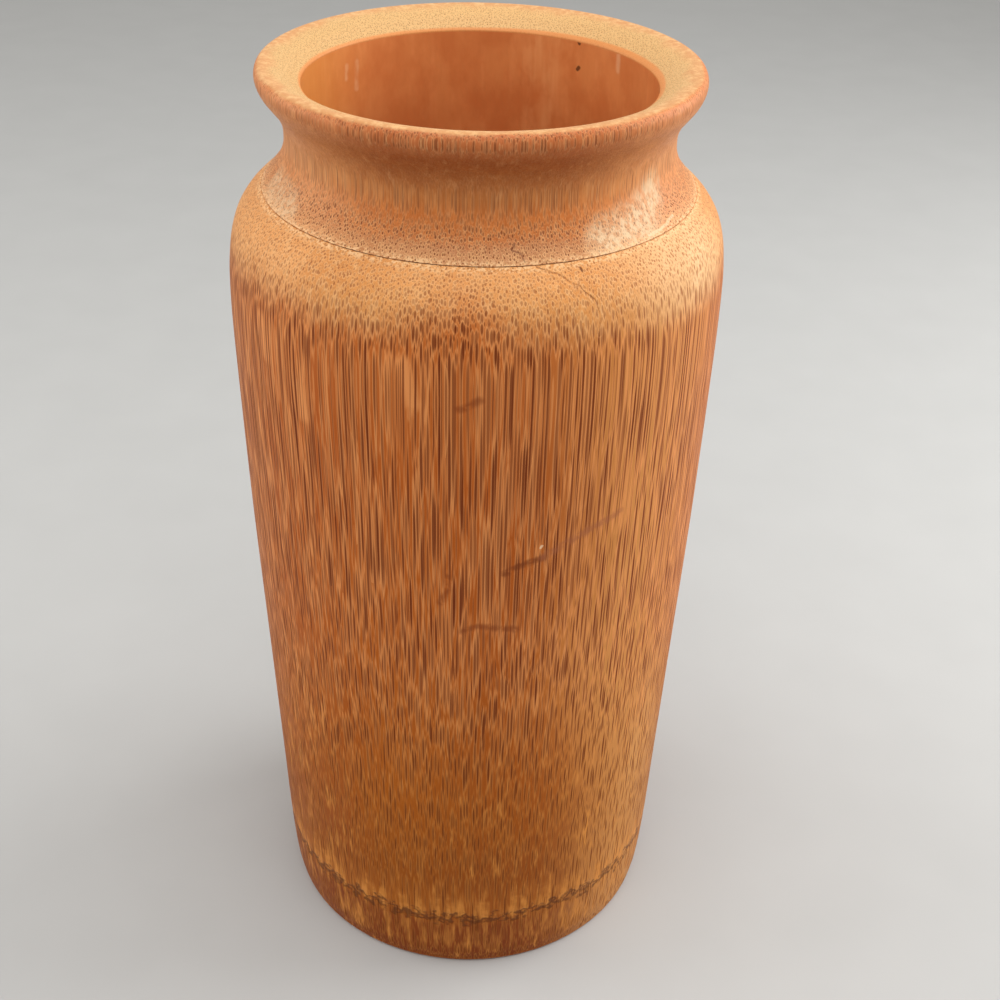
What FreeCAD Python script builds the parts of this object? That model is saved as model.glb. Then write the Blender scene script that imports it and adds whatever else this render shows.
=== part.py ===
import FreeCAD, Part
import os

os.makedirs("parts", exist_ok=True)

# Bamboo vase, in millimetres, +Z up, standing on the plane z = 0 with its axis on Z.
# Four pieces: a turned culm body closed by its own node, a turned neck collar let into the top of it,
# the film of glue between the two, and the lacquer that coats the inside.

# Heights
body_height = 264.8
collar_height = 35.2
node_height = 24.2

# Inside of the vase
mouth_radius = 50.95
lacquer_thickness = 0.6
cavity_corner_radius = 9.0
floor_dish = 2.0

# Walls of bamboo, measured outwards from the bore that the lacquer coats
foot_wall = 13.5
belly_wall = 23.25
seam_wall = 12.95
waist_wall = 5.55
rim_wall = 12.95

# Node, left in the culm as the floor
node_above = 3.0
node_below = 4.0

# Foot
foot_edge_round = 1.4
recess_wall = 12.6
recess_edge_round = 1.2
recess_corner_radius = 6.0

# Lip
bead_reach = 1.9
bead_rise = 2.9
lip_fall = 4.2
mouth_round = 1.5
lacquer_top_drop = 0.3

# Joint between the body and the collar
spigot_wall = 5.4
spigot_length = 9.0
glue_thickness = 0.3
glue_setback = 0.25

# The body's side, from the foot up to the belly: shares of the belly's height and of the swell to the belly
belly_height_share = 0.865
side_outline_shares = (
    (0.025, 0.105),
    (0.1, 0.235),
    (0.214, 0.348),
    (0.433, 0.563),
    (0.653, 0.782),
    (0.785, 0.883),
    (0.9, 0.956),
)

# The shoulder, from the belly up to the seam: shares of that height and of the step in to the seam
shoulder_outline_shares = (
    (0.3, 0.015),
    (0.475, 0.065),
    (0.615, 0.14),
    (0.755, 0.295),
    (0.866, 0.53),
    (0.936, 0.755),
)

# How far the outside steps in at the seam for each millimetre that it rises
seam_slope_share = 1.0

# The cove, from the seam to the waist and out to the rim: shares of each height and of each step
waist_height_share = 0.465
neck_outline_shares = (
    (0.128, 0.24),
    (0.33, 0.58),
    (0.53, 0.81),
    (0.765, 0.965),
)
flare_outline_shares = (
    (0.234, 0.055),
    (0.468, 0.285),
    (0.643, 0.59),
    (0.819, 0.88),
)

# How far the handles of a quarter round, of the lip's slope and of the floor's dish reach
quarter_share = 0.5523
lip_handle_share = 0.35
mouth_lean_share = 0.7
dish_handle_share = 0.45

# Sizes that follow from those above
bore_radius = mouth_radius + lacquer_thickness
foot_radius = bore_radius + foot_wall
belly_radius = bore_radius + belly_wall
seam_radius = bore_radius + seam_wall
collar_seam_radius = seam_radius - glue_thickness * seam_slope_share
waist_radius = bore_radius + waist_wall
rim_radius = bore_radius + rim_wall
recess_radius = foot_radius - recess_wall
belly_height = body_height * belly_height_share
seam_top = body_height + glue_thickness
vase_height = body_height + collar_height
rim_height = vase_height - bead_rise
waist_height = seam_top + (rim_height - seam_top) * waist_height_share
crest_radius = rim_radius - bead_reach
lip_end_radius = mouth_radius + mouth_round
lip_end_height = vase_height - lip_fall
mouth_height = lip_end_height - mouth_round
lacquer_top = mouth_height - lacquer_top_drop
floor_height = node_height + node_above
floor_edge_height = floor_height + floor_dish
floor_edge_radius = bore_radius - cavity_corner_radius
bore_foot_height = floor_edge_height + cavity_corner_radius
recess_height = node_height - node_below
spigot_radius = bore_radius + spigot_wall
socket_radius = spigot_radius + glue_thickness
socket_height = body_height - spigot_length
socket_floor_top = socket_height + glue_thickness

axis_point = FreeCAD.Vector(0, 0, 0)
axis_direction = FreeCAD.Vector(0, 0, 1)
seam_direction = FreeCAD.Vector(-seam_slope_share, 0, 1)
full_turn = 360
mm3_per_cm3 = 1000


def point(radius, height):
    """A point of an outline, in the half plane that is turned about Z."""
    return FreeCAD.Vector(radius, 0, height)


def line(start, end):
    return Part.makeLine(start, end)


def bezier(points):
    curve = Part.BezierCurve()
    curve.setPoles(points)
    return curve.toShape()


def quarter_round(start, corner, end):
    """A quarter of an ellipse from start to end, tangent to the two lines that meet at the corner."""
    first_handle = start + (corner - start) * quarter_share
    second_handle = end + (corner - end) * quarter_share
    return bezier([start, first_handle, second_handle, end])


def dish(edge, centre):
    """A shallow dish from its edge to its centre, level at both."""
    edge_handle = point(edge.x * (1 - dish_handle_share), edge.z)
    centre_handle = point(edge.x * dish_handle_share, centre.z)
    return bezier([edge, edge_handle, centre_handle, centre])


def smooth_curve(points, start_direction, end_direction):
    """A curve through the points. The directions at its ends are scaled to the curve's own length."""
    run = sum(start.distanceToPoint(end) for start, end in zip(points, points[1:]))
    first = FreeCAD.Vector(start_direction)
    last = FreeCAD.Vector(end_direction)
    first.normalize()
    last.normalize()
    curve = Part.BSplineCurve()
    curve.interpolate(Points=points, InitialTangent=first * run, FinalTangent=last * run)
    return curve.toShape()


def between(start, end, outline_shares):
    """Points from start to end, placed by shares of the height and of the step in radius."""
    rise = end.z - start.z
    step = end.x - start.x
    return [point(start.x + step * across, start.z + rise * up) for up, across in outline_shares]


def turned(edges):
    """The solid that a closed outline sweeps in a full turn about Z."""
    face = Part.Face(Part.Wire(edges))
    return face.revolve(axis_point, axis_direction, full_turn)


def body_outside():
    """The outside of the body, from above the foot's edge to the seam."""
    foot = point(foot_radius, foot_edge_round)
    belly = point(belly_radius, belly_height)
    seam = point(seam_radius, body_height)
    side_points = [foot] + between(foot, belly, side_outline_shares) + [belly]
    shoulder_points = [belly] + between(belly, seam, shoulder_outline_shares) + [seam]
    side = smooth_curve(side_points, side_points[1] - foot, axis_direction)
    shoulder = smooth_curve(shoulder_points, axis_direction, seam_direction)
    return [side, shoulder]


def collar_outside():
    """The outside of the collar, from the seam through the waist to the widest line of the rim."""
    seam = point(collar_seam_radius, seam_top)
    waist = point(waist_radius, waist_height)
    rim = point(rim_radius, rim_height)
    neck_points = [seam] + between(seam, waist, neck_outline_shares) + [waist]
    flare_points = [waist] + between(waist, rim, flare_outline_shares) + [rim]
    neck = smooth_curve(neck_points, seam_direction, axis_direction)
    flare = smooth_curve(flare_points, axis_direction, axis_direction)
    return [neck, flare]


def culm_body():
    """The culm: foot ring, node left as the floor, straight bore, and the socket for the collar."""
    foot = point(foot_radius, foot_edge_round)
    seam = point(seam_radius, body_height)
    socket_step = point(socket_radius, body_height)
    socket_corner = point(socket_radius, socket_height)
    socket_lip = point(bore_radius, socket_height)
    bore_foot = point(bore_radius, bore_foot_height)
    bore_corner = point(bore_radius, floor_edge_height)
    floor_edge = point(floor_edge_radius, floor_edge_height)
    floor_centre = point(0, floor_height)
    recess_centre = point(0, recess_height)
    recess_edge = point(recess_radius - recess_corner_radius, recess_height)
    recess_corner = point(recess_radius, recess_height)
    recess_side = point(recess_radius, recess_height - recess_corner_radius)
    ring_inside = point(recess_radius, recess_edge_round)
    ring_inside_corner = point(recess_radius, 0)
    ring_inner = point(recess_radius + recess_edge_round, 0)
    ring_outer = point(foot_radius - foot_edge_round, 0)
    ring_outside_corner = point(foot_radius, 0)
    edges = body_outside()
    edges.append(line(seam, socket_step))
    edges.append(line(socket_step, socket_corner))
    edges.append(line(socket_corner, socket_lip))
    edges.append(line(socket_lip, bore_foot))
    edges.append(quarter_round(bore_foot, bore_corner, floor_edge))
    edges.append(dish(floor_edge, floor_centre))
    edges.append(line(floor_centre, recess_centre))
    edges.append(line(recess_centre, recess_edge))
    edges.append(quarter_round(recess_edge, recess_corner, recess_side))
    edges.append(line(recess_side, ring_inside))
    edges.append(quarter_round(ring_inside, ring_inside_corner, ring_inner))
    edges.append(line(ring_inner, ring_outer))
    edges.append(quarter_round(ring_outer, ring_outside_corner, foot))
    return turned(edges)


def neck_collar():
    """The collar: waist, rolled rim, lip that falls inwards, bore, and the spigot that the body takes."""
    rim = point(rim_radius, rim_height)
    bead_corner = point(rim_radius, vase_height)
    crest = point(crest_radius, vase_height)
    lip_end = point(lip_end_radius, lip_end_height)
    mouth_corner = point(mouth_radius, lip_end_height - mouth_round * mouth_lean_share)
    mouth = point(mouth_radius, mouth_height)
    coat_step = point(mouth_radius, lacquer_top)
    coat_top = point(bore_radius, lacquer_top)
    spigot_inner = point(bore_radius, socket_floor_top)
    spigot_outer = point(spigot_radius, socket_floor_top)
    spigot_root = point(spigot_radius, seam_top)
    seam = point(collar_seam_radius, seam_top)
    lip_reach = (crest_radius - lip_end_radius) * lip_handle_share
    crest_handle = point(crest_radius - lip_reach, vase_height)
    lip_handle = lip_end + (lip_end - mouth_corner) * (lip_reach / mouth_round)
    edges = collar_outside()
    edges.append(quarter_round(rim, bead_corner, crest))
    edges.append(bezier([crest, crest_handle, lip_handle, lip_end]))
    edges.append(quarter_round(lip_end, mouth_corner, mouth))
    edges.append(line(mouth, coat_step))
    edges.append(line(coat_step, coat_top))
    edges.append(line(coat_top, spigot_inner))
    edges.append(line(spigot_inner, spigot_outer))
    edges.append(line(spigot_outer, spigot_root))
    edges.append(line(spigot_root, seam))
    return turned(edges)


def glue_line():
    """The glue: a ring under the collar's shoulder, a sleeve round the spigot and a ring below it."""
    film_edge_radius = collar_seam_radius - glue_setback
    corners = [
        point(film_edge_radius, body_height),
        point(film_edge_radius, seam_top),
        point(spigot_radius, seam_top),
        point(spigot_radius, socket_floor_top),
        point(bore_radius, socket_floor_top),
        point(bore_radius, socket_height),
        point(socket_radius, socket_height),
        point(socket_radius, body_height),
    ]
    edges = [line(start, end) for start, end in zip(corners, corners[1:] + corners[:1])]
    return turned(edges)


def lacquer_lining():
    """The lacquer: a thin cup that follows the bore and the floor and ends just under the mouth's round."""
    inner_floor_height = floor_height + lacquer_thickness
    inner_edge_height = floor_edge_height + lacquer_thickness
    outer_top = point(bore_radius, lacquer_top)
    outer_foot = point(bore_radius, bore_foot_height)
    outer_corner = point(bore_radius, floor_edge_height)
    outer_edge = point(floor_edge_radius, floor_edge_height)
    outer_centre = point(0, floor_height)
    inner_centre = point(0, inner_floor_height)
    inner_edge = point(floor_edge_radius, inner_edge_height)
    inner_corner = point(mouth_radius, inner_edge_height)
    inner_foot = point(mouth_radius, bore_foot_height)
    inner_top = point(mouth_radius, lacquer_top)
    edges = [
        line(outer_top, outer_foot),
        quarter_round(outer_foot, outer_corner, outer_edge),
        dish(outer_edge, outer_centre),
        line(outer_centre, inner_centre),
        dish(inner_edge, inner_centre),
        quarter_round(inner_edge, inner_corner, inner_foot),
        line(inner_foot, inner_top),
        line(inner_top, outer_top),
    ]
    return turned(edges)


pieces = {
    "culm_body": culm_body(),
    "neck_collar": neck_collar(),
    "glue_line": glue_line(),
    "lacquer_lining": lacquer_lining(),
}

for name, piece in pieces.items():
    piece.exportStep("parts/" + name + ".step")
    box = piece.BoundBox
    print(name, piece.ShapeType, "valid", piece.isValid(), "cm3", round(piece.Volume / mm3_per_cm3, 2))
    print("  radius", round(box.XMax, 2), "from", round(box.ZMin, 2), "to", round(box.ZMax, 2))
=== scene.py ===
import math
from functools import reduce
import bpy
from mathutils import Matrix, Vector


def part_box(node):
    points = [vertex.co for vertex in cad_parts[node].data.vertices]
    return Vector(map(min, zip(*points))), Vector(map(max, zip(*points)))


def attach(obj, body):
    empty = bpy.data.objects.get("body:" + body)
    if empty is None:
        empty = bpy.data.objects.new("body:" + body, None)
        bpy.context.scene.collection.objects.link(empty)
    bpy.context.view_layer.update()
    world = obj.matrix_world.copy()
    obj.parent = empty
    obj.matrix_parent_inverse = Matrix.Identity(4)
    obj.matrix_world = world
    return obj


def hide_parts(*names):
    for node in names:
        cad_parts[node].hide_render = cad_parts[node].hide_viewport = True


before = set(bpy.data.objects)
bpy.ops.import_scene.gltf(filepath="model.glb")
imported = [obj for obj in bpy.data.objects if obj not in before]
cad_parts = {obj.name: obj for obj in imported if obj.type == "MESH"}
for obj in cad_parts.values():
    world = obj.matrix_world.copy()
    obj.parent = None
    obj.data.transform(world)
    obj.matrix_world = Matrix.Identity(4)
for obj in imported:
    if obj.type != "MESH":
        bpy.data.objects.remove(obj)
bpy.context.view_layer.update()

from types import SimpleNamespace

import bmesh
import bpy
from mathutils import Matrix, Vector, noise
from mathutils.geometry import interpolate_bezier

# A turned bamboo vase: the culm body, the collar glued into it, the glue that shows as the seam, and the
# lacquer inside. Metres, standing on z = 0 with the axis on Z. The front, which the camera sees, is -Y.

mm = 0.001
full_turn = 2 * math.pi

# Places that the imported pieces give
_, culm_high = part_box("culm_body")
collar_low, collar_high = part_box("neck_collar")
glue_low, glue_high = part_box("glue_line")
lining_low, lining_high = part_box("lacquer_lining")
body_height = culm_high.z
seam_top = glue_high.z
vase_height = collar_high.z
belly_radius = culm_high.x
rim_radius = collar_high.x
bore_radius = lining_high.x
lacquer_top = lining_high.z
floor_height = lining_low.z
socket_height = glue_low.z
socket_floor_top = collar_low.z
film_edge_radius = glue_high.x
glue_thickness = seam_top - body_height

# Walls, rounds and steps of the same pieces
glue_setback = 0.25 * mm
lacquer_thickness = 0.6 * mm
foot_wall = 13.5 * mm
waist_wall = 5.55 * mm
spigot_wall = 5.4 * mm
recess_wall = 12.6 * mm
node_thickness = 7.0 * mm
floor_dish = 2.0 * mm
cavity_corner_radius = 9.0 * mm
recess_corner_radius = 6.0 * mm
foot_edge_round = 1.4 * mm
recess_edge_round = 1.2 * mm
bead_reach = 1.9 * mm
bead_rise = 2.9 * mm
lip_fall = 4.2 * mm
mouth_round = 1.5 * mm

mouth_radius = bore_radius - lacquer_thickness
foot_radius = bore_radius + foot_wall
collar_seam_radius = film_edge_radius + glue_setback
seam_radius = collar_seam_radius + glue_thickness
waist_radius = bore_radius + waist_wall
spigot_radius = bore_radius + spigot_wall
socket_radius = spigot_radius + glue_thickness
recess_radius = foot_radius - recess_wall
recess_height = floor_height - node_thickness
node_line_height = 24.2 * mm

# The outline, as shares of each height and of each step in radius
belly_height_share = 0.865
waist_height_share = 0.465
side_shares = (
    (0.025, 0.105),
    (0.1, 0.235),
    (0.214, 0.348),
    (0.433, 0.563),
    (0.653, 0.782),
    (0.785, 0.883),
    (0.9, 0.956),
)
shoulder_shares = (
    (0.3, 0.015),
    (0.475, 0.065),
    (0.615, 0.14),
    (0.755, 0.295),
    (0.866, 0.53),
    (0.936, 0.755),
)
neck_shares = ((0.128, 0.24), (0.33, 0.58), (0.53, 0.81), (0.765, 0.965))
flare_shares = ((0.234, 0.055), (0.468, 0.285), (0.643, 0.59), (0.819, 0.88))
quarter_share = 0.5523
lip_handle_share = 0.35
mouth_lean_share = 0.7
dish_handle_share = 0.45

# Which way the outline leads at the foot, at the seam and where it stands upright
foot_lean = Vector((1, 0, 4.4))
seam_lean = Vector((-1, 0, 1))
upright = Vector((0, 0, 1))

# How closely the turned meshes are divided
body_segments = 360
collar_segments = 432
lining_segments = 256
fine_step = 0.7 * mm
side_step = 2.1 * mm
glue_step = 3 * mm
recess_side_step = 3 * mm
recess_step = 5 * mm
lining_step = 6 * mm
bore_step = 12 * mm
round_points = 7
bead_points = 9
lip_points = 16
lining_dish_points = 9

# Points closer than this are one point, welds reach this far, and edges sharper than this stay sharp
same_place = 1e-7
weld_distance = 0.004 * mm
sharp_angle = math.radians(40)


def at(radius, height):
    """A point of an outline, in the half plane that is turned about Z."""
    return Vector((radius, 0, height))


def quarter(start, corner, end, points=round_points):
    """A quarter round from start to end, tangent to the two lines that meet at the corner."""
    first = start.lerp(corner, quarter_share)
    second = end.lerp(corner, quarter_share)
    return interpolate_bezier(start, first, second, end, points)


def straight(start, end, step):
    """Points along a straight run, about one step apart."""
    count = max(1, round((end - start).length / step))
    return [start.lerp(end, i / count) for i in range(count + 1)]


def run_through(start, shares, end, first_lean, last_lean, step):
    """A smooth run from start to end through the points that the shares place, with a lean at each end."""
    knots = [start]
    for up, across in shares:
        knots.append(at(start.x + (end.x - start.x) * across, start.z + (end.z - start.z) * up))
    knots.append(end)
    leans = [first_lean.normalized()]
    for before, after in zip(knots, knots[2:]):
        leans.append((after - before).normalized())
    leans.append(last_lean.normalized())
    points = [start]
    for i, (low, high) in enumerate(zip(knots, knots[1:])):
        reach = (high - low).length / 3
        count = max(2, round((high - low).length / step) + 1)
        span = interpolate_bezier(low, low + leans[i] * reach, high - leans[i + 1] * reach, high, count)
        points += span[1:]
    return points


def dish(edge, centre, points):
    """A shallow dish from its edge to its centre, level at both."""
    first = at(edge.x * (1 - dish_handle_share), edge.z)
    second = at(edge.x * dish_handle_share, centre.z)
    return interpolate_bezier(edge, first, second, centre, points)


def joined(*runs):
    """One closed outline from runs that each start where the last one ended."""
    outline = []
    for run in runs:
        for point in run:
            if not outline or (point - outline[-1]).length > same_place:
                outline.append(point)
    if (outline[0] - outline[-1]).length < same_place:
        outline.pop()
    return outline


def body_outline():
    foot = at(foot_radius, foot_edge_round)
    belly = at(belly_radius, body_height * belly_height_share)
    seam = at(seam_radius, body_height)
    side = run_through(foot, side_shares, belly, foot_lean, upright, side_step)
    shoulder = run_through(belly, shoulder_shares, seam, upright, seam_lean, fine_step)
    floor_edge_height = floor_height + floor_dish
    bore_foot = at(bore_radius, floor_edge_height + cavity_corner_radius)
    floor_edge = at(bore_radius - cavity_corner_radius, floor_edge_height)
    recess_edge = at(recess_radius - recess_corner_radius, recess_height)
    recess_side = at(recess_radius, recess_height - recess_corner_radius)
    ring_inside = at(recess_radius, recess_edge_round)
    ring_inner = at(recess_radius + recess_edge_round, 0)
    ring_outer = at(foot_radius - foot_edge_round, 0)
    return joined(
        side,
        shoulder,
        straight(seam, at(socket_radius, body_height), side_step),
        straight(at(socket_radius, body_height), at(socket_radius, socket_height), bore_step),
        straight(at(socket_radius, socket_height), at(bore_radius, socket_height), bore_step),
        straight(at(bore_radius, socket_height), bore_foot, bore_step),
        quarter(bore_foot, at(bore_radius, floor_edge_height), floor_edge),
        dish(floor_edge, at(0, floor_height), round_points),
        straight(at(0, recess_height), recess_edge, recess_step),
        quarter(recess_edge, at(recess_radius, recess_height), recess_side),
        straight(recess_side, ring_inside, recess_side_step),
        quarter(ring_inside, at(recess_radius, 0), ring_inner),
        straight(ring_inner, ring_outer, side_step),
        quarter(ring_outer, at(foot_radius, 0), foot),
    )


def collar_outline():
    seam = at(collar_seam_radius, seam_top)
    rim = at(rim_radius, vase_height - bead_rise)
    waist = at(waist_radius, seam_top + (rim.z - seam_top) * waist_height_share)
    crest = at(rim_radius - bead_reach, vase_height)
    lip_end = at(mouth_radius + mouth_round, vase_height - lip_fall)
    mouth_corner = at(mouth_radius, lip_end.z - mouth_round * mouth_lean_share)
    mouth = at(mouth_radius, lip_end.z - mouth_round)
    coat_step = at(mouth_radius, lacquer_top)
    coat_top = at(bore_radius, lacquer_top)
    spigot_inner = at(bore_radius, socket_floor_top)
    spigot_outer = at(spigot_radius, socket_floor_top)
    spigot_root = at(spigot_radius, seam_top)
    lip_reach = (crest.x - lip_end.x) * lip_handle_share
    crest_handle = at(crest.x - lip_reach, vase_height)
    lip_handle = lip_end + (lip_end - mouth_corner) * (lip_reach / mouth_round)
    return joined(
        run_through(seam, neck_shares, waist, seam_lean, upright, fine_step),
        run_through(waist, flare_shares, rim, upright, upright, fine_step),
        quarter(rim, at(rim_radius, vase_height), crest, bead_points),
        interpolate_bezier(crest, crest_handle, lip_handle, lip_end, lip_points),
        quarter(lip_end, mouth_corner, mouth),
        straight(mouth, coat_step, side_step),
        straight(coat_step, coat_top, side_step),
        straight(coat_top, spigot_inner, bore_step),
        straight(spigot_inner, spigot_outer, bore_step),
        straight(spigot_outer, spigot_root, bore_step),
        straight(spigot_root, seam, side_step),
    )


def glue_outline():
    corners = [
        at(film_edge_radius, body_height),
        at(film_edge_radius, seam_top),
        at(spigot_radius, seam_top),
        at(spigot_radius, socket_floor_top),
        at(bore_radius, socket_floor_top),
        at(bore_radius, socket_height),
        at(socket_radius, socket_height),
        at(socket_radius, body_height),
    ]
    sides = zip(corners, corners[1:] + corners[:1])
    return joined(*[straight(start, end, glue_step) for start, end in sides])


def lining_outline():
    edge_height = floor_height + floor_dish
    inner_edge_height = edge_height + lacquer_thickness
    outer_foot = at(bore_radius, edge_height + cavity_corner_radius)
    outer_edge = at(bore_radius - cavity_corner_radius, edge_height)
    inner_edge = at(bore_radius - cavity_corner_radius, inner_edge_height)
    inner_foot = at(mouth_radius, edge_height + cavity_corner_radius)
    inner_top = at(mouth_radius, lacquer_top)
    outer_top = at(bore_radius, lacquer_top)
    outer_dish = dish(outer_edge, at(0, floor_height), lining_dish_points)
    inner_dish = dish(inner_edge, at(0, floor_height + lacquer_thickness), lining_dish_points)
    return joined(
        straight(outer_top, outer_foot, bore_step),
        quarter(outer_foot, at(bore_radius, edge_height), outer_edge),
        outer_dish,
        inner_dish[::-1],
        quarter(inner_edge, at(mouth_radius, inner_edge_height), inner_foot),
        straight(inner_foot, inner_top, lining_step),
        straight(inner_top, outer_top, side_step),
    )


def ease(value, low, high):
    """0 below low, 1 above high, and smooth between them."""
    share = min(1.0, max(0.0, (value - low) / (high - low)))
    return share * share * (3 - 2 * share)


# The real culm isn't quite round: the belly stands fuller on the left and the rim fuller on the right
belly_flat = 0.5 * mm
rim_flat = 0.6 * mm
belly_share = 0.85
rim_reach = 15 * mm
wave_depth = 0.12 * mm
waves_around = 1.7
waves_per_metre = 9

# Only the outside is worn: how far out from the bore the wear begins, and where it is full
wear_begins = 1 * mm
wear_full = 4 * mm

# Chips along the seam
chip_depth = 0.45 * mm
chip_reach = 1.1 * mm
chips_around = 38
chip_start = Vector((2, 8, 4))
chip_threshold = 0.25
chip_least = 0.12

# The groove of the node's scar, and how it wanders up and down
node_groove_depth = 0.22 * mm
node_groove_reach = 0.9 * mm
node_groove_band = 12 * mm
node_wander = 1.3 * mm
bends_around = 2.3
bend_start = Vector((3, 1, 7))
ripples_around = 9.0
ripple_start = Vector((5, 2, 1))
ripple_share = 0.6


def node_line_at(around):
    """The height of the node's scar at a direction round the culm."""
    slow = noise.noise(around * bends_around + bend_start)
    quick = noise.noise(around * ripples_around + ripple_start)
    return node_line_height + node_wander * (slow + ripple_share * quick)


def worn(point):
    """Moves a point of the outside as the real, slightly uneven surface lies. The inside stays round."""
    radius = math.hypot(point.x, point.y)
    share = ease(radius, bore_radius + wear_begins, bore_radius + wear_full)
    if share == 0:
        return point
    around = Vector((point.x / radius, point.y / radius, 0))
    up_share = ease(point.z, body_height * belly_share, seam_top + rim_reach)
    to_right = (1 + around.x) / 2
    dip = belly_flat * to_right * (1 - up_share) + rim_flat * (1 - to_right) * up_share
    wave = noise.noise(around * waves_around + Vector((0, 0, point.z * waves_per_metre)))
    dip += wave_depth * (0.5 + 0.5 * wave)
    if foot_edge_round < point.z < node_line_height + node_groove_band:
        off_line = (point.z - node_line_at(around)) / node_groove_reach
        dip += node_groove_depth * math.exp(-off_line * off_line)
    off_seam = abs(point.z - (body_height + seam_top) / 2)
    if off_seam < chip_reach and radius > film_edge_radius:
        ragged = noise.noise(around * chips_around + chip_start)
        chip = max(0.0, ragged - chip_threshold) + chip_least
        dip += chip_depth * chip * (1 - off_seam / chip_reach)
    scale = 1 - dip * share / radius
    return Vector((point.x * scale, point.y * scale, point.z))


def turned(name, outline, segments):
    """The piece that the outline sweeps in a full turn about Z, closed, with its outside as it is worn."""
    shape = bmesh.new()
    ring = [shape.verts.new(point) for point in outline]
    for low, high in zip(ring, ring[1:] + ring[:1]):
        shape.edges.new((low, high))
    bmesh.ops.spin(
        shape,
        geom=shape.verts[:] + shape.edges[:],
        cent=(0, 0, 0),
        axis=(0, 0, 1),
        angle=full_turn,
        steps=segments,
        use_merge=True,
    )
    bmesh.ops.remove_doubles(shape, verts=shape.verts, dist=weld_distance)
    for vert in shape.verts:
        vert.co = worn(vert.co)
    bmesh.ops.recalc_face_normals(shape, faces=shape.faces)
    for face in shape.faces:
        face.smooth = True
    mesh = bpy.data.meshes.new(name)
    shape.to_mesh(mesh)
    shape.free()
    mesh.set_sharp_from_angle(angle=sharp_angle)
    piece = bpy.data.objects.new(name, mesh)
    bpy.context.scene.collection.objects.link(piece)
    return piece


# Finishes

class Strand:
    """A value that changes over a surface. Sums written with it add Math nodes."""

    def __init__(self, finish, node, socket):
        self.finish = finish
        self.node = node
        self.socket = socket

    def out(self, name):
        """Another output of the same node."""
        return Strand(self.finish, self.node, picked(self.node.outputs, name))

    def sum(self, operation, *values):
        sockets = {"Value": values[0]}
        for socket, value in zip(("Value_001", "Value_002"), values[1:]):
            sockets[socket] = value
        return self.finish.node("Math", {"operation": operation}, sockets)

    def __add__(self, other):
        return self.sum("ADD", self, other)

    def __sub__(self, other):
        return self.sum("SUBTRACT", self, other)

    def __mul__(self, other):
        return self.sum("MULTIPLY", self, other)

    def __truediv__(self, other):
        return self.sum("DIVIDE", self, other)

    def __radd__(self, other):
        return self.sum("ADD", other, self)

    def __rsub__(self, other):
        return self.sum("SUBTRACT", other, self)

    def __rmul__(self, other):
        return self.sum("MULTIPLY", other, self)

    def __rtruediv__(self, other):
        return self.sum("DIVIDE", other, self)

    def __pow__(self, other):
        return self.sum("POWER", self, other)

    def eased(self, low, high):
        """0 at low and 1 at high, smooth between them. Low may be the larger."""
        sockets = {"Value": self, "From Min": low, "From Max": high}
        return self.finish.node("MapRange", {"interpolation_type": "SMOOTHSTEP"}, sockets)

    def most(self, other):
        return self.sum("MAXIMUM", self, other)

    def least(self, other):
        return self.sum("MINIMUM", self, other)

    def size(self):
        """The value without its sign."""
        return self.sum("ABSOLUTE", self)


def picked(sockets, name):
    """A socket by its identifier, or else by its name."""
    for socket in sockets:
        if socket.identifier == name:
            return socket
    return sockets[name]


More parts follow.
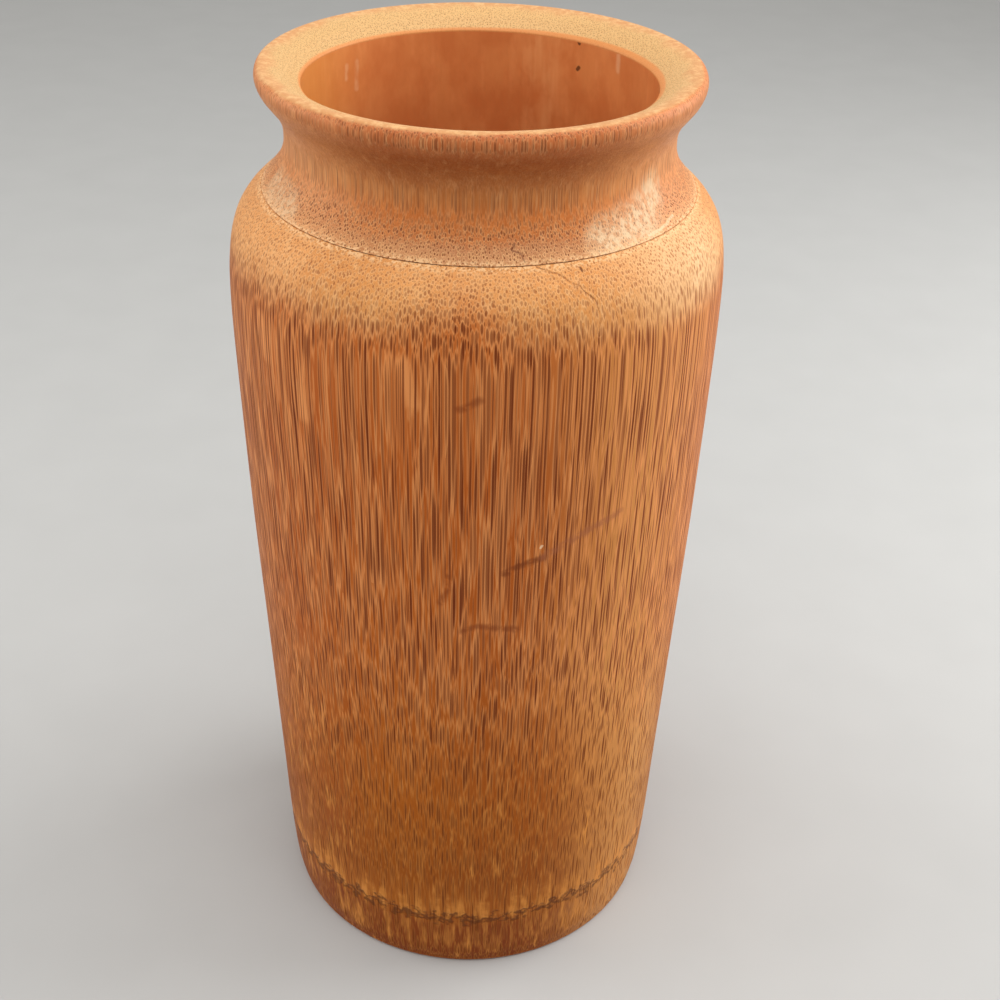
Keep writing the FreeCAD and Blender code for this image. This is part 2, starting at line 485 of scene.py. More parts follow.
class Finish:
    """A material in the making."""

    def __init__(self, name):
        self.material = bpy.data.materials.new(name)
        self.material.use_nodes = True
        self.tree = self.material.node_tree
        self.tree.nodes.clear()

    def node(self, kind, settings, sockets, output=None):
        """Adds a node of a kind, sets it, then feeds its sockets with numbers, tuples or strands."""
        node = self.tree.nodes.new("ShaderNode" + kind)
        for name, value in settings.items():
            if name == "stops":
                self.set_stops(node.color_ramp, value)
            else:
                setattr(node, name, value)
        for name, value in sockets.items():
            socket = picked(node.inputs, name)
            if isinstance(value, Strand):
                self.tree.links.new(value.socket, socket)
            else:
                socket.default_value = value
        out = picked(node.outputs, output) if output else node.outputs[0]
        return Strand(self, node, out)

    def set_stops(self, ramp, stops):
        while len(ramp.elements) < len(stops):
            ramp.elements.new(1.0)
        for element, (position, colour) in zip(ramp.elements, stops):
            element.position = position
            element.color = colour

    def place(self):
        """The place on the piece, in millimetres."""
        metres = self.node("TexCoord", {}, {}, "Object")
        return self.scaled(metres, 1 / mm)

    def scaled(self, vector, factor):
        return self.node("VectorMath", {"operation": "SCALE"}, {"Vector": vector, "Scale": factor})

    def stretched(self, vector, factors):
        return self.node("VectorMath", {"operation": "MULTIPLY"}, {"Vector": vector, "Vector_001": factors})

    def moved(self, vector, other):
        return self.node("VectorMath", {"operation": "ADD"}, {"Vector": vector, "Vector_001": other})

    def parts(self, vector):
        split = self.node("SeparateXYZ", {}, {"Vector": vector})
        return split.out("X"), split.out("Y"), split.out("Z")

    def cloud(self, vector, scale, detail=2.0, roughness=0.5):
        """Noise between 0 and 1. Its Color output holds three such noises."""
        sockets = {"Vector": vector, "Scale": scale, "Detail": detail, "Roughness": roughness}
        return self.node("TexNoise", {}, sockets)

    def colour_cloud(self, vector, scale, detail=1.0):
        """Three noises centred on 0, as a vector."""
        made = self.cloud(vector, scale, detail).out("Color")
        return self.moved(made, (-0.5, -0.5, -0.5))

    def blend(self, factor, base, top, how="MIX"):
        settings = {"data_type": "RGBA", "blend_type": how}
        sockets = {"Factor_Float": factor, "A_Color": base, "B_Color": top}
        return self.node("Mix", settings, sockets, "Result_Color")

    def tint(self, factor, base, times):
        """Multiplies the colour by three numbers where the factor is 1."""
        return self.blend(factor, base, (*times, 1), "MULTIPLY")

    def ramp(self, value, colours):
        """Runs through colours, each given at its share between 0 and 1."""
        stops = [(share, paint(*colour)) for share, colour in colours]
        return self.node("ValToRGB", {"stops": stops}, {"Fac": value})

    def off_segment(self, vector, start, end):
        """How far a place lies from a straight stretch between two points."""
        along = tuple(b - a for a, b in zip(start, end))
        length_squared = sum(c * c for c in along)
        from_start = self.moved(vector, tuple(-c for c in start))
        dot = {"Vector": from_start, "Vector_001": along}
        share = self.node("VectorMath", {"operation": "DOT_PRODUCT"}, dot, "Value") / length_squared
        share = self.node("Clamp", {}, {"Value": share})
        foot = self.scaled(self.node("CombineXYZ", {}, dict(zip("XYZ", along))), share)
        gap = {"Vector": from_start, "Vector_001": foot}
        return self.node("VectorMath", {"operation": "DISTANCE"}, gap, "Value")

    def off_line(self, vector, points):
        """How far a place lies from a line of straight stretches."""
        gaps = [self.off_segment(vector, start, end) for start, end in zip(points, points[1:])]
        return reduce(Strand.least, gaps)

    def surface(self, colour, roughness, height=None, depth=0.0, strength=1.0, **settings):
        """Finishes the material. The depth is how many metres a height of 1 stands out."""
        sockets = {"Base Color": colour, "Roughness": roughness, **settings}
        if height is not None:
            relief = {"Height": height, "Distance": depth, "Strength": strength}
            sockets["Normal"] = self.node("Bump", {}, relief)
        shader = self.node("BsdfPrincipled", {}, sockets)
        self.node_output(shader)
        return self.material

    def node_output(self, shader):
        output = self.tree.nodes.new("ShaderNodeOutputMaterial")
        self.tree.links.new(shader.socket, output.inputs["Surface"])


def paint(red, green, blue):
    """A colour as a screen shows it, 0 to 255, as the linear colour that a shader takes."""
    linear = []
    for value in (red, green, blue):
        share = value / 255
        linear.append(share / 12.92 if share <= 0.04045 else ((share + 0.055) / 1.055) ** 2.4)
    return (*linear, 1.0)


# Bamboo, glue and lacquer. Lengths are in millimetres, and turns in degrees from the front, to the right.

bundle_spacing = 1.08
collar_spacing = 0.98
fine_spacing = 0.72
pore_depth = 0.12 * mm
pore_strength = 0.7
seam_foot = body_height / mm
collar_foot = seam_top / mm
collar_rise = vase_height / mm - collar_foot
node_height = node_line_height / mm
recess_reach = recess_radius / mm
foot_reach = foot_radius / mm
mouth_reach = mouth_radius / mm

# Colours up the side of the body and up the collar, each at its share of the height. Towards the foot the
# body darkens, partly its own tone and partly painted shade.
side_colours = (
    (0.0, (132, 58, 4)),
    (0.075, (136, 62, 4)),
    (0.1, (168, 92, 20)),
    (0.16, (154, 79, 4)),
    (0.3, (174, 91, 8)),
    (0.55, (188, 98, 26)),
    (0.75, (184, 91, 24)),
    (0.92, (194, 105, 44)),
)
collar_colours = (
    (0.0, (208, 150, 102)),
    (0.09, (200, 136, 88)),
    (0.16, (210, 128, 67)),
    (0.3, (213, 125, 60)),
    (0.45, (203, 127, 66)),
    # From 0.62 to 0.86 the collar darkens under the bead: painted shade
    (0.62, (178, 104, 52)),
    (0.76, (164, 86, 38)),
    (0.86, (184, 102, 50)),
    (0.95, (196, 112, 62)),
)

# Marks of wear and of painted sheen and reflections, each a line of turns and heights, and the radius at
# which they lie
skin_reach = 74
thin_skin_lines = (
    ((-15.2, 241), (-13, 229)),
    ((-54, 240), (-52, 229)),
    ((-41, 225), (-40, 216)),
)
crack_reach = 66
crack_line = ((14, 264.4), (18, 263.2), (22.6, 260.4), (25.6, 256.8), (26.6, 252.5), (26.2, 247))
front_reach = 73.3
scratch_line = ((7.2, 173.9), (10.1, 176.1), (16, 178.2))
rub_line = ((16, 178.4), (24.7, 183.8), (35.2, 187.6))
smudge_lines = (
    ((-5.6, 172.7), (-5.6, 167.7), (-7.4, 163)),
    ((-2.3, 152.7), (1.6, 154.7), (10.7, 152.8)),
    ((-3.4, 228.4), (-1, 229.8), (1.2, 231.4)),
)
pit_line = ((24.13, 263.4), (24.31, 263.1))
chip_line = ((15.2, 181.6), (15.5, 182.4))
waist_reach = 62
# Pale patches on both sides of the waist: mostly painted sheen, partly rubbed wear
right_sheen_line = ((33, 267.5), (47, 270), (55, 275))
left_sheen_line = ((-58, 267.5), (-74, 269.5))
curl_line = ((9.0, 269.6), (8.4, 268.4), (10.6, 267.4), (11.2, 265.9))
lifted_line = ((47, 265.9), (54, 266.2), (60, 267.2))
# Two painted reflections on the left of the bore, and a dried drip on the right
reflection_and_drip_lines = (
    ((-127, 288.2), (-126.8, 284.6)),
    ((-132, 288.6), (-131.6, 280.6)),
    ((125.5, 293.6), (125.2, 289)),
)
dark_mark_lines = (
    ((143.9, 294.2), (143.6, 293.8)),
    ((143.3, 286.4), (143.9, 285.6)),
)


def bundles(finish, grain, swell, spacing, core, sheath):
    """The fibre bundles, dark cores in pale sheaths. They run up the culm, and the turning cuts them."""
    settings = {"voronoi_dimensions": "2D", "feature": "F1"}
    cells = finish.node("TexVoronoi", settings, {"Vector": grain, "Scale": 1 / spacing, "Randomness": 0.82})
    distance = cells * spacing
    luck, other_luck, _ = finish.parts(cells.out("Color"))
    size = (0.64 + 0.32 * luck + 0.5 * swell) * core
    dark = distance.eased(size * 1.3, size * 0.6) * (0.56 + 0.44 * other_luck)
    pale = distance.eased(size + sheath, size + sheath * 0.25) * (0.25 + 0.75 * luck)
    return dark, pale


def wandering(finish, place, slow_reach, quick_reach):
    """The place as the grain sees it: the fibres of a culm don't run quite straight."""
    slow = finish.colour_cloud(finish.stretched(place, (1 / 11, 1 / 11, 1 / 55)), 1.0, 1.0)
    quick = finish.colour_cloud(finish.stretched(place, (1 / 3.2, 1 / 3.2, 1 / 13)), 1.0, 1.0)
    wander = finish.moved(finish.scaled(slow, slow_reach), finish.scaled(quick, quick_reach))
    return finish.moved(place, wander)


def turn_of(x, y):
    """How far a place is turned from the front, in degrees, to the right."""
    return x.sum("ARCTAN2", x, y * -1) * (180 / math.pi)


def near(value, middle, reach):
    """1 where the value is at the middle, easing to 0 at the reach on both sides."""
    return (value - middle).size().eased(reach, 0)


def laid_flat(finish, grain, radius):
    """The outside laid flat: millimetres to the right of the front, and up."""
    across = grain.turn * math.radians(radius)
    return finish.node("CombineXYZ", {}, {"X": across, "Y": grain.z, "Z": 0.0})


def shaken(finish, grain, radius, size, reach):
    """The flat outside moved about a little, so that marks laid on it aren't quite straight."""
    shake = finish.scaled(finish.colour_cloud(grain.place, 1 / size, 2.0), reach)
    return finish.moved(laid_flat(finish, grain, radius), shake)


def off_marks(finish, flat, radius, *lines):
    """How far a place on the flat outside lies from the nearest of some lines."""
    gaps = []
    for line in lines:
        points = [(math.radians(turn) * radius, height, 0.0) for turn, height in line]
        gaps.append(finish.off_line(flat, points))
    return reduce(Strand.least, gaps)


def seam_specks(finish, grain, by_seam, colour):
    """Pale specks where the wood is chipped along the seam's edge."""
    specks = finish.cloud(finish.stretched(grain.place, (1, 1, 1.6)), 1 / 0.9, 1.0)
    return finish.blend(by_seam * specks.eased(0.46, 0.58) * 0.7, colour, paint(246, 200, 146))


def body_grain(finish):
    """The body's grain, and the masks that its colours follow."""
    place = finish.place()
    x, y, z = finish.parts(place)
    turn = turn_of(x, y)
    low_down = z.eased(150, 60)
    dense = near(turn, -6, 20) * near(z, 252, 12)

    # Towards the foot the fibres lean outwards, so the turned side cuts them into shorter dashes
    below = (150 - z.most(40)).most(0)
    fibres = finish.scaled(place, 1 - below * below * (0.00015 / 65))
    fibres = wandering(finish, fibres, 1.2, 0.22 + 0.35 * z.eased(60, 22))
    swell = finish.cloud(finish.stretched(place, (1 / 3, 1 / 3, 1 / 22)), 1.0, 1.0) + dense * 0.3
    swell = swell - 0.45 * low_down - 0.2 * z.eased(246, 258)
    dark, pale = bundles(finish, fibres, swell, bundle_spacing, 0.33, 0.28)
    thin_dark, thin_pale = bundles(finish, fibres, swell, fine_spacing, 0.18, 0.16)

    # The pale shoulder ends lower on the right of the front, and higher where a dense patch of pores begins
    uneven = finish.cloud(finish.stretched(place, (1, 1, 0.45)), 1 / 16, 3.0, 0.55)
    edge = 250 + 6.5 * near(turn, -6, 18) - 2 * near(turn, 22, 16) - 5 * near(turn, 60, 28)
    return SimpleNamespace(
        place=place,
        z=z,
        turn=turn,
        radius=(x * x + y * y) ** 0.5,
        low_down=low_down,
        dense=dense,
        dark=dark,
        pale=pale,
        thin_dark=thin_dark,
        thin_pale=thin_pale,
        uneven=uneven,
        shoulder=(z - edge + (uneven - 0.5) * 12).eased(-8, 7),
        hair=finish.cloud(finish.stretched(fibres, (1 / 0.3, 1 / 0.3, 1 / 16)), 1.0, 2.0, 0.6),
        flake=finish.cloud(finish.stretched(fibres, (1 / 2.4, 1 / 2.4, 1 / 22)), 1.0, 3.0, 0.6),
    )


def body_paints(finish, grain):
    """The body's pale and dark paints, which change towards the foot and over the shoulder."""
    pale_paint = finish.blend(grain.low_down, paint(232, 150, 86), paint(214, 138, 60))
    pale_paint = finish.blend(grain.shoulder, pale_paint, paint(242, 190, 130))
    dark_paint = finish.blend(grain.low_down, paint(106, 36, 0), paint(116, 52, 2))
    dark_paint = finish.blend(grain.shoulder, dark_paint, paint(138, 62, 12))
    return pale_paint, dark_paint


def body_side(finish, grain):
    """The ground colour up the side, with plain end grain under the foot. Painted light makes the side paler
    to the right of the front and is toned down again at the far right, and painted shade darkens its upper
    left edge.
    """
    outside = grain.radius.eased(recess_reach + 2, recess_reach + 8)
    side = finish.ramp(grain.z / seam_foot, side_colours)
    # Painted light: the side is paler to the right of the front
    right = near(grain.turn - 12 * grain.low_down, 42, 36) * outside
    side = finish.blend(right * 0.64, side, paint(226, 166, 96))
    # The painted light is toned down again at the far right
    side = finish.tint(near(grain.turn, 84, 40) * outside * 0.8, side, (0.84, 0.91, 0.89))
    # Painted shade: the upper left edge is darker and less blue
    shaded_left_edge = near(grain.turn, -76, 36) * outside * grain.z.eased(60, 190)
    side = finish.tint(shaded_left_edge, side, (0.79, 0.86, 0.68))
    return finish.blend(grain.z.eased(0.4, 0.1) * 0.7, side, paint(184, 124, 74))


def body_ground(finish, grain):
    """The side's colour and the shoulder's, unevenly stained, with a painted highlight on the right of the
    shoulder and painted light on its left.
    """
    # Painted highlight: the shoulder turns whiter to the right of the front
    shoulder_paint = finish.blend(near(grain.turn, 56, 34) * 0.8, paint(230, 162, 98), paint(240, 198, 150))
    # Painted light: the shoulder is paler on its left
    shoulder_paint = finish.blend(near(grain.turn, -66, 34) * 0.6, shoulder_paint, paint(246, 184, 122))
    ground = finish.blend(grain.shoulder, body_side(finish, grain), shoulder_paint)
    grit = finish.cloud(grain.place, 1 / 0.55, 1.0)
    mottle = finish.cloud(finish.stretched(grain.place, (1, 1, 0.7)), 1 / 2.6, 3.0, 0.6)
    broad = finish.cloud(finish.stretched(grain.place, (1, 1, 0.3)), 1 / 30, 2.0)
    ground = finish.tint(grit.eased(0.4, 0.7) * grain.shoulder * 0.7, ground, (0.86, 0.8, 0.72))
    ground = finish.tint(mottle.eased(0.42, 0.62) * grain.shoulder * 0.6, ground, (0.9, 0.84, 0.76))
    ground = finish.tint(broad.eased(0.35, 0.65) * 0.8, ground, (0.88, 0.8, 0.68))
    return finish.tint(grain.hair.eased(0.35, 0.7) * 0.5, ground, (0.86, 0.78, 0.66))


def body_fibres(finish, grain, colour, pale_paint, dark_paint):
    """Pale flakes where the skin was left thin, and the fibre bundles, over the ground."""
    flake = grain.flake
    patches = (flake + near(grain.turn, -50, 34) * 0.05).eased(0.56, 0.74) * (0.8 - 0.4 * grain.shoulder)
    thin_skin = off_marks(finish, laid_flat(finish, grain, skin_reach), skin_reach, *thin_skin_lines)
    patches = patches.most(thin_skin.eased(3.6, 0.5) * flake.eased(0.25, 0.5) * 0.9)
    calm = 1 - 0.4 * grain.shoulder
    colour = finish.blend(patches, colour, pale_paint)
    colour = finish.blend(grain.thin_pale * calm * (0.55 - 0.3 * grain.low_down), colour, pale_paint)
    colour = finish.blend(grain.thin_dark * (calm * 0.85 + grain.dense * 0.2), colour, dark_paint)
    colour = finish.blend(grain.pale * calm * (0.85 - 0.45 * grain.low_down), colour, pale_paint)
    return finish.blend(grain.dark * (0.95 - 0.3 * grain.shoulder), colour, dark_paint)


def shoulder_crack(finish, grain, colour, pale_paint):
    """A fine crack from the seam over the shoulder, paler along its edges."""
    flat = shaken(finish, grain, crack_reach, 4, 1.6)
    off_crack = off_marks(finish, flat, crack_reach, crack_line)
    colour = finish.blend(near(off_crack, 0.6, 0.35) * 0.25, colour, pale_paint)
    crack = off_crack.eased(0.26, 0.06) * grain.uneven.eased(0.3, 0.6) * 0.6
    return finish.blend(crack, colour, paint(112, 58, 24)), crack


def front_marks(finish, grain, colour):
    """A scratch with a rubbed end, smudges, a pit and a chip on the front."""
    flat = shaken(finish, grain, front_reach, 4, 1.6)
    fade_in = finish.cloud(grain.place, 1 / 2.4, 2.0)
    scratch = off_marks(finish, flat, front_reach, scratch_line).eased(1.8, 0.3)
    colour = finish.blend(scratch * fade_in.eased(0.3, 0.55) * 0.7, colour, paint(120, 54, 18))
    rub = off_marks(finish, flat, front_reach, rub_line).eased(2.0, 0.4)
    colour = finish.blend(rub * fade_in.eased(0.3, 0.55) * 0.6, colour, paint(162, 94, 60))
    smudge = off_marks(finish, flat, front_reach, *smudge_lines).eased(1.8, 0.2)
    colour = finish.blend(smudge * fade_in.eased(0.25, 0.5) * 0.6, colour, paint(130, 58, 20))
    pit = off_marks(finish, flat, front_reach, pit_line).eased(0.6, 0.3)
    colour = finish.blend(pit * 0.8, colour, paint(96, 44, 16))
    chip = off_marks(finish, flat, front_reach, chip_line).eased(0.55, 0.2)
    return finish.blend(chip * 0.8, colour, paint(240, 204, 164)), pit


def node_scar(finish, grain, colour, pale_paint):
    """The node's scar: a dark ragged line with small loops, between pale patches."""
    ragged = finish.colour_cloud(finish.stretched(grain.place, (1, 1, 1.1)), 1 / 3.6, 2.0)
    ripple, second_ripple, fade = finish.parts(ragged)
    rise = finish.cloud(finish.stretched(grain.place, (1, 1, 0)), 1 / 24, 2.0)
    scar_height = node_height + (rise - 0.5) * 5
    off_scar = grain.z - scar_height + ripple * 16
    off_second = grain.z - scar_height - 0.6 + second_ripple * 18
    scar = off_scar.size().eased(2.6, 0.2) * fade.eased(-0.15, 0.07)
    second = off_second.size().eased(2.2, 0.2) * fade.eased(0.12, -0.05)
    scar = scar.most(second) * near(grain.z, node_height, 6.5).eased(0, 0.45)
    above_scar = off_scar.eased(-2, 2) * off_scar.eased(13, 2) * grain.flake.eased(0.4, 0.6)
    below_scar = off_scar.eased(-1, -3) * grain.z.eased(4, 12) * grain.flake.eased(0.45, 0.62)
    colour = finish.blend(above_scar * 0.85 + below_scar * 0.35, colour, pale_paint)
    return finish.blend(scar * 0.75, colour, paint(88, 42, 10)), scar


def worn_foot(finish, grain, colour):
    """The foot's outer edge, rubbed paler."""
    edge = grain.z.eased(1.8, 0.6) * grain.radius.eased(foot_reach - 2.4, foot_reach - 1)
    return finish.blend(edge * 0.5, colour, paint(196, 108, 52))


def bamboo_body():
    finish = Finish("oiled_bamboo")
    grain = body_grain(finish)
    pale_paint, dark_paint = body_paints(finish, grain)
    colour = body_ground(finish, grain)
    colour = body_fibres(finish, grain, colour, pale_paint, dark_paint)
    colour = seam_specks(finish, grain, grain.z.eased(seam_foot - 1.7, seam_foot - 0.2), colour)
    colour, crack = shoulder_crack(finish, grain, colour, pale_paint)
    colour, pit = front_marks(finish, grain, colour)
    colour, scar = node_scar(finish, grain, colour, pale_paint)
    colour = worn_foot(finish, grain, colour)
    relief = grain.hair * 0.15 + grain.pale * 0.3 - grain.dark - scar * 0.8 - crack - pit
    roughness = 0.44 + 0.16 * grain.dark + 0.12 * (1 - grain.uneven)
    gloss = {"Specular IOR Level": 0.14}
    return finish.surface(colour, roughness, relief, pore_depth, pore_strength, **gloss)


def collar_grain(finish):
    """The collar's grain, and the masks that its colours follow."""
    place = finish.place()
    x, y, z = finish.parts(place)
    turn = turn_of(x, y)
    uneven = finish.cloud(finish.stretched(place, (1, 1, 0.6)), 1 / 12, 3.0, 0.55)
    fibres = wandering(finish, place, 0.8, 0.3)
    swell = finish.cloud(finish.stretched(place, (1 / 3, 1 / 3, 1 / 8)), 1.0, 1.0)
    dark, pale = bundles(finish, fibres, swell, collar_spacing, 0.24, 0.24)
    thin_dark, thin_pale = bundles(finish, fibres, swell, fine_spacing, 0.15, 0.16)

    # The bundles show as dots by the seam and as streaks over the waist and round the bead
    height = (z - collar_foot + (uneven - 0.5) * 4) / collar_rise
    dotted = height.eased(0.36, 0.16)
    streaked = near(height, 0.38, 0.2) * 0.55
    bead = z.eased(294.6, 296.4)
    bead_luck = finish.cloud(place, 1 / 5, 2.0).eased(0.25, 0.55).most(near(turn, 18, 45)).most(0.3)
    at_sides = turn.size().eased(18, 56)
    beaded = bead * (0.2 + 0.65 * bead_luck) * (1 - 0.5 * at_sides)
    return SimpleNamespace(
        place=place,
        x=x,
        z=z,
        turn=turn,
        radius=(x * x + y * y) ** 0.5,
        height=height,
        dotted=dotted,
        bead=bead,
        at_sides=at_sides,
        strength=0.2 + 0.8 * dotted.most(beaded).most(streaked),
        dark=dark,
        pale=pale,
        thin_dark=thin_dark,
        thin_pale=thin_pale,
        uneven=uneven,
        hair=finish.cloud(finish.stretched(fibres, (1 / 0.35, 1 / 0.35, 1 / 7)), 1.0, 2.0, 0.6),
        flake=finish.cloud(finish.stretched(fibres, (1 / 1.8, 1 / 1.8, 1 / 9)), 1.0, 3.0, 0.6),
    )


def collar_ground(finish, grain):
    """The collar's ground colour, unevenly stained, with painted light making it paler at both sides of the
    front and painted shade in the darker band under the bead.
    """
    ground = finish.ramp(grain.height, collar_colours)
    # Painted light: the collar is paler at both sides of the front, less so on the bead
    ground = finish.blend(grain.at_sides * (0.55 - 0.2 * grain.bead), ground, paint(234, 162, 98))
    grit = finish.cloud(grain.place, 1 / 0.55, 1.0)
    mottle = finish.cloud(finish.stretched(grain.place, (1, 1, 0.5)), 1 / 3, 3.0, 0.6)
    ground = finish.tint(grain.hair.eased(0.35, 0.65) * 0.75, ground, (0.84, 0.75, 0.66))
    ground = finish.tint(grit.eased(0.4, 0.7) * grain.dotted, ground, (0.86, 0.8, 0.74))
    ground = finish.tint(mottle.eased(0.4, 0.6) * 0.8, ground, (0.9, 0.84, 0.78))
    return finish.tint(mottle.eased(0.5, 0.3) * 0.8, ground, (1.05, 1.08, 1.08))


def collar_fibres(finish, grain, colour):
    """The collar's fibre bundles and pale flakes over the ground."""
    pale_paint = paint(240, 182, 122)
    dark_paint = paint(120, 52, 10)
    strength = grain.strength
    by_seam = grain.z.eased(collar_foot + 3.8, collar_foot + 1.5)
    sheaths = grain.pale * strength * (0.4 + 0.45 * by_seam) * (1 - 0.5 * grain.bead)
    colour = finish.blend(grain.flake.eased(0.55, 0.75) * (0.2 + 0.2 * grain.dotted), colour, pale_paint)
    colour = finish.blend(grain.thin_pale * strength * 0.4, colour, pale_paint)
    colour = finish.blend(grain.thin_dark * strength * (0.8 - 0.3 * by_seam), colour, dark_paint)
    colour = finish.blend(sheaths, colour, pale_paint)
    return finish.blend(grain.dark * strength * 0.9, colour, dark_paint)


def sheen_and_rub_patches(finish, grain, colour):
    """Pale patches on both sides above the seam: mostly painted sheen, partly rubbed pale by hands."""
    flat = laid_flat(finish, grain, waist_reach)
    right = off_marks(finish, flat, waist_reach, right_sheen_line).eased(8, 1)
    left = off_marks(finish, flat, waist_reach, left_sheen_line).eased(6, 1) * 0.7
    patchy = finish.cloud(finish.stretched(grain.place, (1, 1, 0.5)), 1 / 1.6, 3.0, 0.6).eased(0.4, 0.6)
    # The pale patches are mostly painted sheen, partly rubbed wear
    rubbed = right.most(left) * (0.3 + 0.7 * patchy)
    return finish.blend(rubbed * 0.7, colour, paint(236, 208, 166))


def seam_curl(finish, grain, colour):
    """A dark curl and a lifted pale edge beside the seam."""
    flat = shaken(finish, grain, waist_reach, 2.5, 0.8)
    curl = off_marks(finish, flat, waist_reach, curl_line).eased(0.36, 0.1)
    colour = finish.blend(curl * 0.6, colour, paint(104, 50, 20))
    lifted = off_marks(finish, flat, waist_reach, lifted_line).eased(0.45, 0.15)
    return finish.blend(lifted * 0.5, colour, paint(244, 214, 172))


def rim_top(finish, grain, colour):
    """Pale end grain on top of the rim, pinker over the crest."""
    radius = grain.radius
    on_top = grain.z.eased(295.2, 296.2).most(radius.eased(60, 58.5) * grain.z.eased(291.5, 293))
    crest = finish.blend(grain.flake.eased(0.4, 0.7), paint(202, 144, 92), paint(220, 172, 118))
    end_grain = finish.blend(grain.flake, paint(204, 160, 104), paint(220, 176, 118))
    end_grain = finish.blend(grain.thin_pale * 0.3, end_grain, paint(238, 200, 140))
    end_grain = finish.blend(grain.thin_dark * 0.9, end_grain, paint(146, 108, 62))
    end_grain = finish.blend(grain.dark * 0.45, end_grain, paint(156, 108, 60))
    end_grain = finish.tint(near(grain.turn, -120, 70) * 0.8, end_grain, (0.93, 0.95, 0.96))
    inwards = (radius + (grain.uneven - 0.5) * 9).eased(61.5, 57.0)
    top = finish.blend(inwards, crest, end_grain)
    over_crest = (radius + (grain.uneven - 0.5) * 1.5).eased(63.4, 62.4)
    return finish.blend(on_top * over_crest, colour, top), on_top


def wrapped_lacquer(finish, grain, colour):
    """Lacquer that wraps over the mouth's round, a little further on the right."""
    further = (grain.x * (0.9 / 52)).most(0)
    wrap = (grain.radius - further + (grain.uneven - 0.5) * 0.4).eased(51.9, 51.2)
    return finish.blend(wrap * grain.z.eased(290, 292) * 0.85, colour, paint(214, 136, 74))


def bamboo_collar():
    finish = Finish("oiled_bamboo_collar")
    grain = collar_grain(finish)
    colour = collar_ground(finish, grain)
    colour = collar_fibres(finish, grain, colour)
    colour = sheen_and_rub_patches(finish, grain, colour)
    colour = seam_curl(finish, grain, colour)
    colour, on_top = rim_top(finish, grain, colour)
    colour = wrapped_lacquer(finish, grain, colour)
    colour = seam_specks(finish, grain, grain.z.eased(collar_foot + 1.6, collar_foot + 0.2), colour)
    relief = grain.hair * 0.15 + grain.pale * 0.3 * (1 - on_top) - grain.dark * grain.strength
    roughness = 0.42 + 0.15 * grain.dark + 0.1 * grain.uneven
    gloss = {"Specular IOR Level": 0.22}
    return finish.surface(colour, roughness, relief, pore_depth, pore_strength, **gloss)


def dark_glue():
    finish = Finish("dried_glue")
    place = finish.place()
    x, y, _ = finish.parts(place)
    turn = turn_of(x, y)
    speck = finish.cloud(place, 1.4, 3.0, 0.6)
    colour = finish.blend(speck.eased(0.3, 0.7), paint(78, 40, 18), paint(122, 72, 38))

    # Round the sides and in gaps along the front the seam is filled and pale
    gaps = finish.cloud(place, 1 / 4, 2.0).eased(0.46, 0.6) * 0.75
    filled = turn.eased(26, 40).most(turn.eased(-38, -50)).most(gaps)
    colour = finish.blend(filled * 0.8, colour, paint(190, 138, 92))
    return finish.surface(colour, 0.6 + 0.2 * speck, speck, 0.1 * mm)


def lacquer_coat(finish):
    """How the lacquer ran and lies, and where a place is on it."""
    place = finish.place()
    x, y, z = finish.parts(place)
    return SimpleNamespace(
        place=place,
        z=z,
        turn=turn_of(x, y),
        runs=finish.cloud(finish.stretched(place, (1 / 9, 1 / 9, 1 / 50)), 1.0, 2.0, 0.5),
        fine_runs=finish.cloud(finish.stretched(place, (1 / 2.4, 1 / 2.4, 1 / 30)), 1.0, 2.0, 0.5),
        blotch=finish.cloud(finish.stretched(place, (1, 1, 0.6)), 1 / 8, 3.0, 0.6),
    )


def lacquer_tones(finish, coat):
    """The lacquer's orange, paler in runs, with painted light on the left and in a patch at the back right,
    and painted shade deep in the bore.
    """
    blotch = coat.blotch
    fine_runs = coat.fine_runs
    colour = finish.blend(blotch.eased(0.3, 0.7), paint(208, 122, 66), paint(220, 138, 78))
    colour = finish.tint(coat.runs.eased(0.4, 0.62) * 0.5, colour, (1.07, 1.1, 1.12))
    colour = finish.tint(fine_runs.eased(0.5, 0.7) * blotch.eased(0.4, 0.6) * 0.5, colour, (1.1, 1.18, 1.3))
    # Painted light: the bore is paler on its left
    colour = finish.blend(near(coat.turn, -100, 44) * 0.6, colour, paint(228, 154, 72))
    # Painted light: a paler patch at the back right of the bore
    glow = near(coat.turn, 157, 13) * blotch.eased(0.35, 0.6) * (0.4 + 0.6 * fine_runs.eased(0.4, 0.6))
    colour = finish.blend(glow * 0.45, colour, paint(236, 168, 108))
    # Painted shade: darker deep in the bore
    return finish.tint(coat.z.eased(286, 264) * 0.6, colour, (0.84, 0.82, 0.82))


def reflections_drip_and_marks(finish, coat, colour):
    """Pale streaks, the two on the left painted reflections and the one on the right a dried drip, and two
    dark marks near the mouth at the back.
    """
    flat = shaken(finish, coat, mouth_reach, 4, 0.9)
    # Pale streaks: painted reflections on the left, a dried drip on the right
    reflection_and_drip_streaks = off_marks(finish, flat, mouth_reach, *reflection_and_drip_lines).eased(1.3, 0.2)
    colour = finish.blend(reflection_and_drip_streaks * 0.5 * coat.blotch.eased(0.3, 0.5), colour, paint(240, 190, 144))
    marks = off_marks(finish, flat, mouth_reach, *dark_mark_lines).eased(0.75, 0.35)
    return finish.blend(marks * 0.85, colour, paint(74, 36, 16))


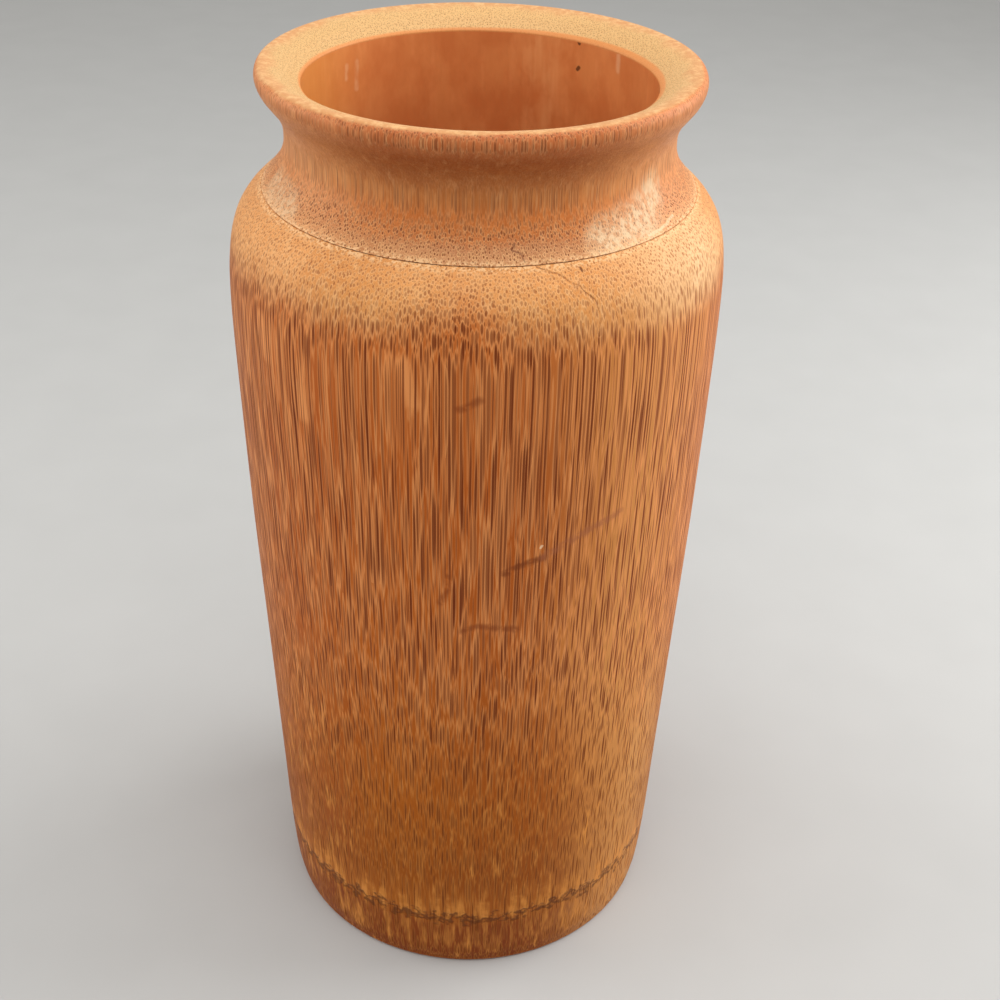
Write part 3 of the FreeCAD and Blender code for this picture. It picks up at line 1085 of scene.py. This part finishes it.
def lacquer():
    finish = Finish("orange_lacquer")
    coat = lacquer_coat(finish)
    colour = lacquer_tones(finish, coat)
    colour = reflections_drip_and_marks(finish, coat, colour)
    relief = coat.runs + 0.3 * coat.fine_runs + 0.4 * coat.blotch
    gloss = {"Coat Weight": 0.6, "Coat Roughness": 0.1, "Specular IOR Level": 0.5}
    return finish.surface(colour, 0.3 + 0.1 * coat.blotch, relief, 0.5 * mm, 0.5, **gloss)


# Floor, lights and camera

floor_reach = 6.0
room_colour = (1.0, 0.985, 0.96, 1.0)
room_strength = 0.58
aim_height_share = 0.55


def pale_floor():
    finish = Finish("pale_floor")
    grain = finish.cloud(finish.place(), 1 / 40, 3.0)
    colour = finish.blend(grain, paint(178, 178, 176), paint(184, 184, 182))
    return finish.surface(colour, 0.8)


def make_floor():
    shape = bmesh.new()
    bmesh.ops.create_grid(shape, x_segments=2, y_segments=2, size=floor_reach)
    mesh = bpy.data.meshes.new("floor")
    shape.to_mesh(mesh)
    shape.free()
    floor = bpy.data.objects.new("floor", mesh)
    bpy.context.scene.collection.objects.link(floor)
    mesh.materials.append(pale_floor())


def make_world():
    world = bpy.data.worlds.new("soft_room")
    world.use_nodes = True
    background = world.node_tree.nodes["Background"]
    background.inputs["Color"].default_value = room_colour
    background.inputs["Strength"].default_value = room_strength
    bpy.context.scene.world = world


def soft_box(name, turn_degrees, lift_degrees, distance, width, height, watts):
    """A soft lamp aimed at the vase's middle. The turn is counted from the right, towards the back."""
    turn = math.radians(turn_degrees)
    lift = math.radians(lift_degrees)
    aim = Vector((0, 0, vase_height * aim_height_share))
    way = Vector((math.cos(turn) * math.cos(lift), math.sin(turn) * math.cos(lift), math.sin(lift)))
    lamp = bpy.data.lights.new(name, "AREA")
    lamp.shape = "RECTANGLE"
    lamp.size = width
    lamp.size_y = height
    lamp.energy = watts
    holder = bpy.data.objects.new(name, lamp)
    holder.location = aim + way * distance
    holder.rotation_euler = way.to_track_quat("Z", "Y").to_euler()
    bpy.context.scene.collection.objects.link(holder)


camera_distance = 423.87 * mm
camera_height = 423.95 * mm
camera_turn = math.radians(1.19)
camera_dip = math.radians(32.63)
camera_tilt = math.radians(1.569)
camera_lens = 54.0


def make_camera():
    level = Vector((math.sin(camera_turn), math.cos(camera_turn), 0))
    ahead = level * math.cos(camera_dip) - Vector((0, 0, math.sin(camera_dip)))
    right = Vector((level.y, -level.x, 0))
    up = right.cross(ahead)
    side = right * math.cos(camera_tilt) + up * math.sin(camera_tilt)
    top = up * math.cos(camera_tilt) - right * math.sin(camera_tilt)
    lens = bpy.data.cameras.new("view")
    lens.lens = camera_lens
    lens.sensor_width = 36.0
    lens.clip_start = 0.01
    lens.clip_end = 30.0
    camera = bpy.data.objects.new("view", lens)
    turn = Matrix((side, top, -ahead)).transposed()
    camera.matrix_world = Matrix.Translation((0, -camera_distance, camera_height)) @ turn.to_4x4()
    bpy.context.scene.collection.objects.link(camera)
    bpy.context.scene.camera = camera


def make_vase():
    parts = [
        ("turned_culm", body_outline(), body_segments, bamboo_body(), "culm_body", "bamboo_body"),
        ("flared_collar", collar_outline(), collar_segments, bamboo_collar(), "neck_collar", "bamboo_collar"),
        ("seam_glue", glue_outline(), body_segments, dark_glue(), "glue_line", "dark_glue"),
        ("lacquer_coat", lining_outline(), lining_segments, lacquer(), "lacquer_lining", "inner_lacquer"),
    ]
    for name, outline, segments, material, node, slot in parts:
        piece = turned(name, outline, segments)
        piece.data.materials.append(material)
        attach(piece, "root")
        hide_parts(node)


make_vase()
make_floor()
make_world()
soft_box("window", turn_degrees=14, lift_degrees=24, distance=1.0, width=0.7, height=0.9, watts=8.5)
soft_box("overhead", turn_degrees=-80, lift_degrees=75, distance=1.1, width=1.1, height=1.1, watts=9.0)
soft_box("left_fill", turn_degrees=174, lift_degrees=18, distance=1.2, width=0.8, height=0.9, watts=5.2)
make_camera()
bpy.context.scene.view_settings.view_transform = "Standard"
